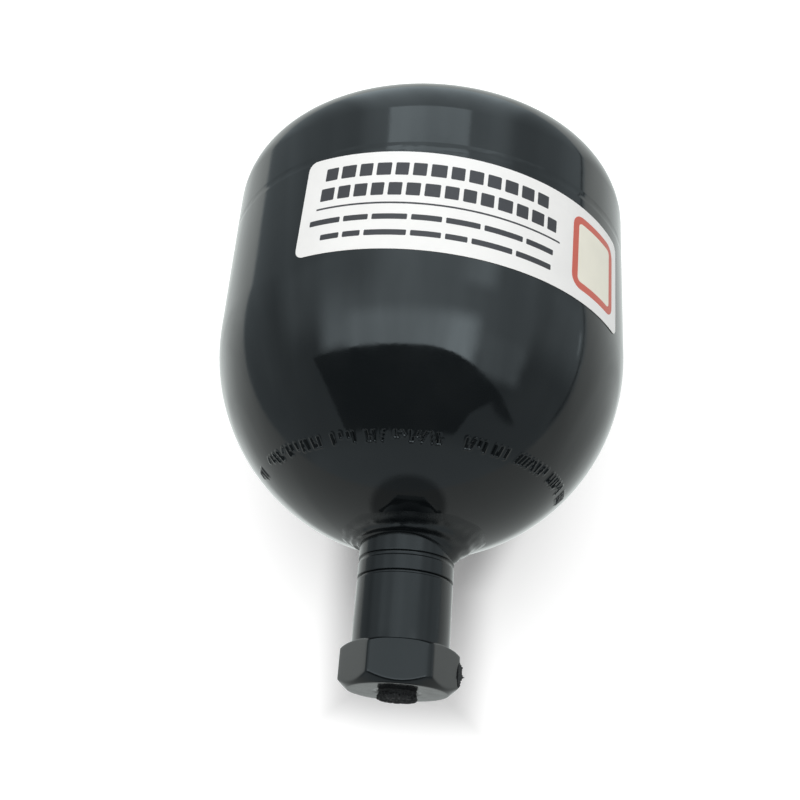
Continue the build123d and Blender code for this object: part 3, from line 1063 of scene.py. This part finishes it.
def openingShare(tree, across, up):
    # The dark opening under the strip: a bowed top, a leaning left side, and a notched right side.
    right = calc(tree, "MAXIMUM", across, 0.0)
    bow = calc(tree, "MULTIPLY", calc(tree, "MULTIPLY", right, right), 0.008)
    below = ramp(tree, calc(tree, "ADD", up, bow), -20.2, -18.6, 1.0, 0.0)
    leftSide = calc(tree, "MULTIPLY_ADD", up, 0.38, across)
    upper = calc(tree, "MULTIPLY_ADD", up, 1.25, 95.5)
    lower = calc(tree, "MULTIPLY_ADD", up, 0.55, 59.5)
    fromRight = calc(tree, "SUBTRACT", across, calc(tree, "MAXIMUM", upper, lower))
    inside = calc(tree, "MULTIPLY", ramp(tree, leftSide, -71.0, -69.5), ramp(tree, fromRight, -1.2, 1.2, 1.0, 0.0))
    return calc(tree, "MULTIPLY", calc(tree, "MULTIPLY", below, inside), ramp(tree, up, -67.5, -63.5)), below


def beyondEdge(tree, angle, across):
    # How far a direction lies beyond the table's edge, which comes nearer on the right.
    edge = calc(tree, "MULTIPLY_ADD", across, -0.085, 103.0)
    return calc(tree, "SUBTRACT", angle, edge)


def tableShare(tree, angle, across):
    return ramp(tree, beyondEdge(tree, angle, across), -1.6, 1.6)


def softboxLevel(tree, across, up):
    left = ramp(tree, up, -15.0, 30.0, tent["softboxLow"], tent["softboxHigh"])
    soft = mixLevel(tree, ramp(tree, across, -40.0, -8.0), left, tent["softbox"])
    return mixLevel(tree, ramp(tree, across, 8.0, 38.0), soft, tent["softboxRight"])


def wallLevel(tree, angle, across, up):
    walls = ramp(tree, up, -78.0, -60.0, tent["below"], tent["beside"])
    walls = mixLevel(tree, ramp(tree, up, -18.0, 10.0), walls, tent["middle"])
    sideways = calc(tree, "ABSOLUTE", across)
    above = ramp(tree, sideways, 27.0, 42.0, tent["above"], tent["upperSide"])
    walls = mixLevel(tree, ramp(tree, up, 28.0, 46.0), walls, above)
    walls = mixLevel(tree, ramp(tree, across, -84.0, -70.0, 1.0, 0.0), walls, tent["farSide"])
    table = ramp(tree, up, -70.0, 70.0, tent["tableLow"], tent["tableHigh"])
    table = mixLevel(tree, ramp(tree, across, -110.0, -95.0, 1.0, 0.0), table, calc(tree, "MULTIPLY", table, 1.12))
    return mixLevel(tree, tableShare(tree, angle, across), walls, table)


def tentLevel(tree, angle, across, up):
    level = wallLevel(tree, angle, across, up)
    level = mixLevel(tree, area(tree, across, up, -56.0, 57.0, -18.0, 38.0, 5.0), level, softboxLevel(tree, across, up))
    level = mixLevel(tree, area(tree, across, up, 17.0, 33.0, 18.0, 36.0, 5.0), level, tent["patch"])
    level = mixLevel(tree, area(tree, across, up, 30.0, 55.0, -30.0, -8.0, 4.0), level, tent["softboxRight"] * 1.15)
    bright = ramp(tree, across, 0.0, 20.0, tent["strip"], tent["stripRight"])
    level = mixLevel(tree, area(tree, across, up, -41.0, 27.0, -30.0, -0.5, 5.5), level, bright)
    level = mixLevel(tree, area(tree, across, up, -24.0, 15.0, 38.0, 45.0, 1.2), level, tent["topLine"])
    opening, below = openingShare(tree, across, up)
    shade = calc(tree, "MULTIPLY", oval(tree, across, up, (57.0, -38.0), (17.0, 13.0), 0.5), below)
    level = mixLevel(tree, shade, level, tent["shade"])
    under = calc(tree, "MULTIPLY", area(tree, across, up, -43.0, 30.0, -32.0, -1.0, 2.4), below)
    level = mixLevel(tree, under, level, tent["opening"])
    level = mixLevel(tree, opening, level, tent["opening"])
    level = mixLevel(tree, oval(tree, across, up, (-1.0, -117.5), (34.0, 26.0)), level, tent["standing"])
    # On the right a thin dark line runs before the table's edge, and a bright one before that
    beyond = beyondEdge(tree, angle, across)
    right = ramp(tree, across, 60.0, 75.0)
    dark = calc(tree, "MULTIPLY", band(tree, beyond, -2.8, -1.5, 0.4), right)
    level = mixLevel(tree, calc(tree, "MULTIPLY", dark, ramp(tree, up, -42.0, -28.0)), level, tent["horizon"])
    bright = calc(tree, "MULTIPLY", band(tree, beyond, -5.8, -4.8, 0.4), right)
    bright = calc(tree, "MULTIPLY", bright, band(tree, up, 10.0, 24.0, 3.0))
    level = mixLevel(tree, bright, level, tent["glint"])
    # Upright folds in the cloth, which fade toward the port's side
    upright = {0: calc(tree, "MULTIPLY", across, 0.05), 1: calc(tree, "MULTIPLY", up, 0.008)}
    place = addNode(tree, "ShaderNodeCombineXYZ", upright).outputs[0]
    cloth = addNode(tree, "ShaderNodeTexNoise", {"Vector": place, "Scale": 1.0, "Detail": 3.0}).outputs["Fac"]
    folds = ramp(tree, cloth, 0.3, 0.7, 1 - tent["folds"], 1 + tent["folds"])
    folds = mixLevel(tree, ramp(tree, up, -60.0, -20.0), 1.0, folds)
    return calc(tree, "MULTIPLY", level, folds)


def buildWorld():
    world = bpy.data.worlds.new("tent")
    bpy.context.scene.world = world
    world.use_nodes = True
    tree = world.node_tree
    tree.nodes.clear()
    angle, across, up = tentMap(tree)
    level = tentLevel(tree, angle, across, up)
    tint = mixColour(tree, tableShare(tree, angle, across), tent["coolTint"], tent["tableTint"])
    path = addNode(tree, "ShaderNodeLightPath").outputs
    # What is seen, by the camera or in a gloss, is the tent, and plain white straight to the camera
    tentLight = addNode(tree, "ShaderNodeBackground", {"Color": tint, "Strength": level}).outputs[0]
    white = addNode(tree, "ShaderNodeBackground", {"Color": tent["neutral"], "Strength": 1.0}).outputs[0]
    shown = addNode(tree, "ShaderNodeMixShader", {0: path["Is Camera Ray"], 1: tentLight, 2: white}).outputs[0]
    plain = addNode(tree, "ShaderNodeBackground", {"Color": tent["neutral"], "Strength": tent["plainLevel"]})
    seen = calc(tree, "ADD", path["Is Camera Ray"],
                calc(tree, "ADD", path["Is Glossy Ray"], path["Is Transmission Ray"]))
    seen = calc(tree, "MINIMUM", seen, 1.0)
    chosen = addNode(tree, "ShaderNodeMixShader", {0: seen, 1: plain.outputs[0], 2: shown}).outputs[0]
    addNode(tree, "ShaderNodeOutputWorld", {"Surface": chosen})


buildWorld()

lamp = {"place": (-110.0, -800.0, 330.0), "width": 900.0, "height": 600.0, "power": 4.1}


def addLamp():
    data = bpy.data.lights.new("keyLamp", "AREA")
    data.shape = "RECTANGLE"
    data.size = lamp["width"] * mm
    data.size_y = lamp["height"] * mm
    data.energy = lamp["power"]
    light = bpy.data.objects.new("keyLamp", data)
    bpy.context.scene.collection.objects.link(light)
    light.location = Vector(lamp["place"]) * mm
    aim = Vector((0, 0, domeCentre)) * mm - light.location
    light.rotation_mode = "QUATERNION"
    light.rotation_quaternion = aim.to_track_quat("-Z", "Y")
    light.visible_glossy = False
    light.visible_camera = False


addLamp()
print("stage and light done")


# Camera, fitted to the photograph's outline of the vessel

camera = {"place": (-5.991, -323.235, -55.240), "lens": 47.77, "lookUp": 25.07, "roll": 4.49}


def addCamera():
    up, roll = math.radians(camera["lookUp"]), math.radians(camera["roll"])
    forward = Vector((0, math.cos(up), math.sin(up)))
    side = Vector((math.cos(roll), -math.sin(roll) * math.sin(up), math.sin(roll) * math.cos(up)))
    top = side.cross(forward)
    data = bpy.data.cameras.new("camera")
    data.lens = camera["lens"]
    data.sensor_width = 36.0
    data.clip_start = 0.01
    eye = bpy.data.objects.new("camera", data)
    bpy.context.scene.collection.objects.link(eye)
    turned = Matrix((side, top, -forward)).transposed().to_4x4()
    eye.matrix_world = Matrix.Translation(Vector(camera["place"]) * mm) @ turned
    bpy.context.scene.camera = eye


addCamera()
bpy.context.scene.view_settings.view_transform = "Standard"
print("camera done")
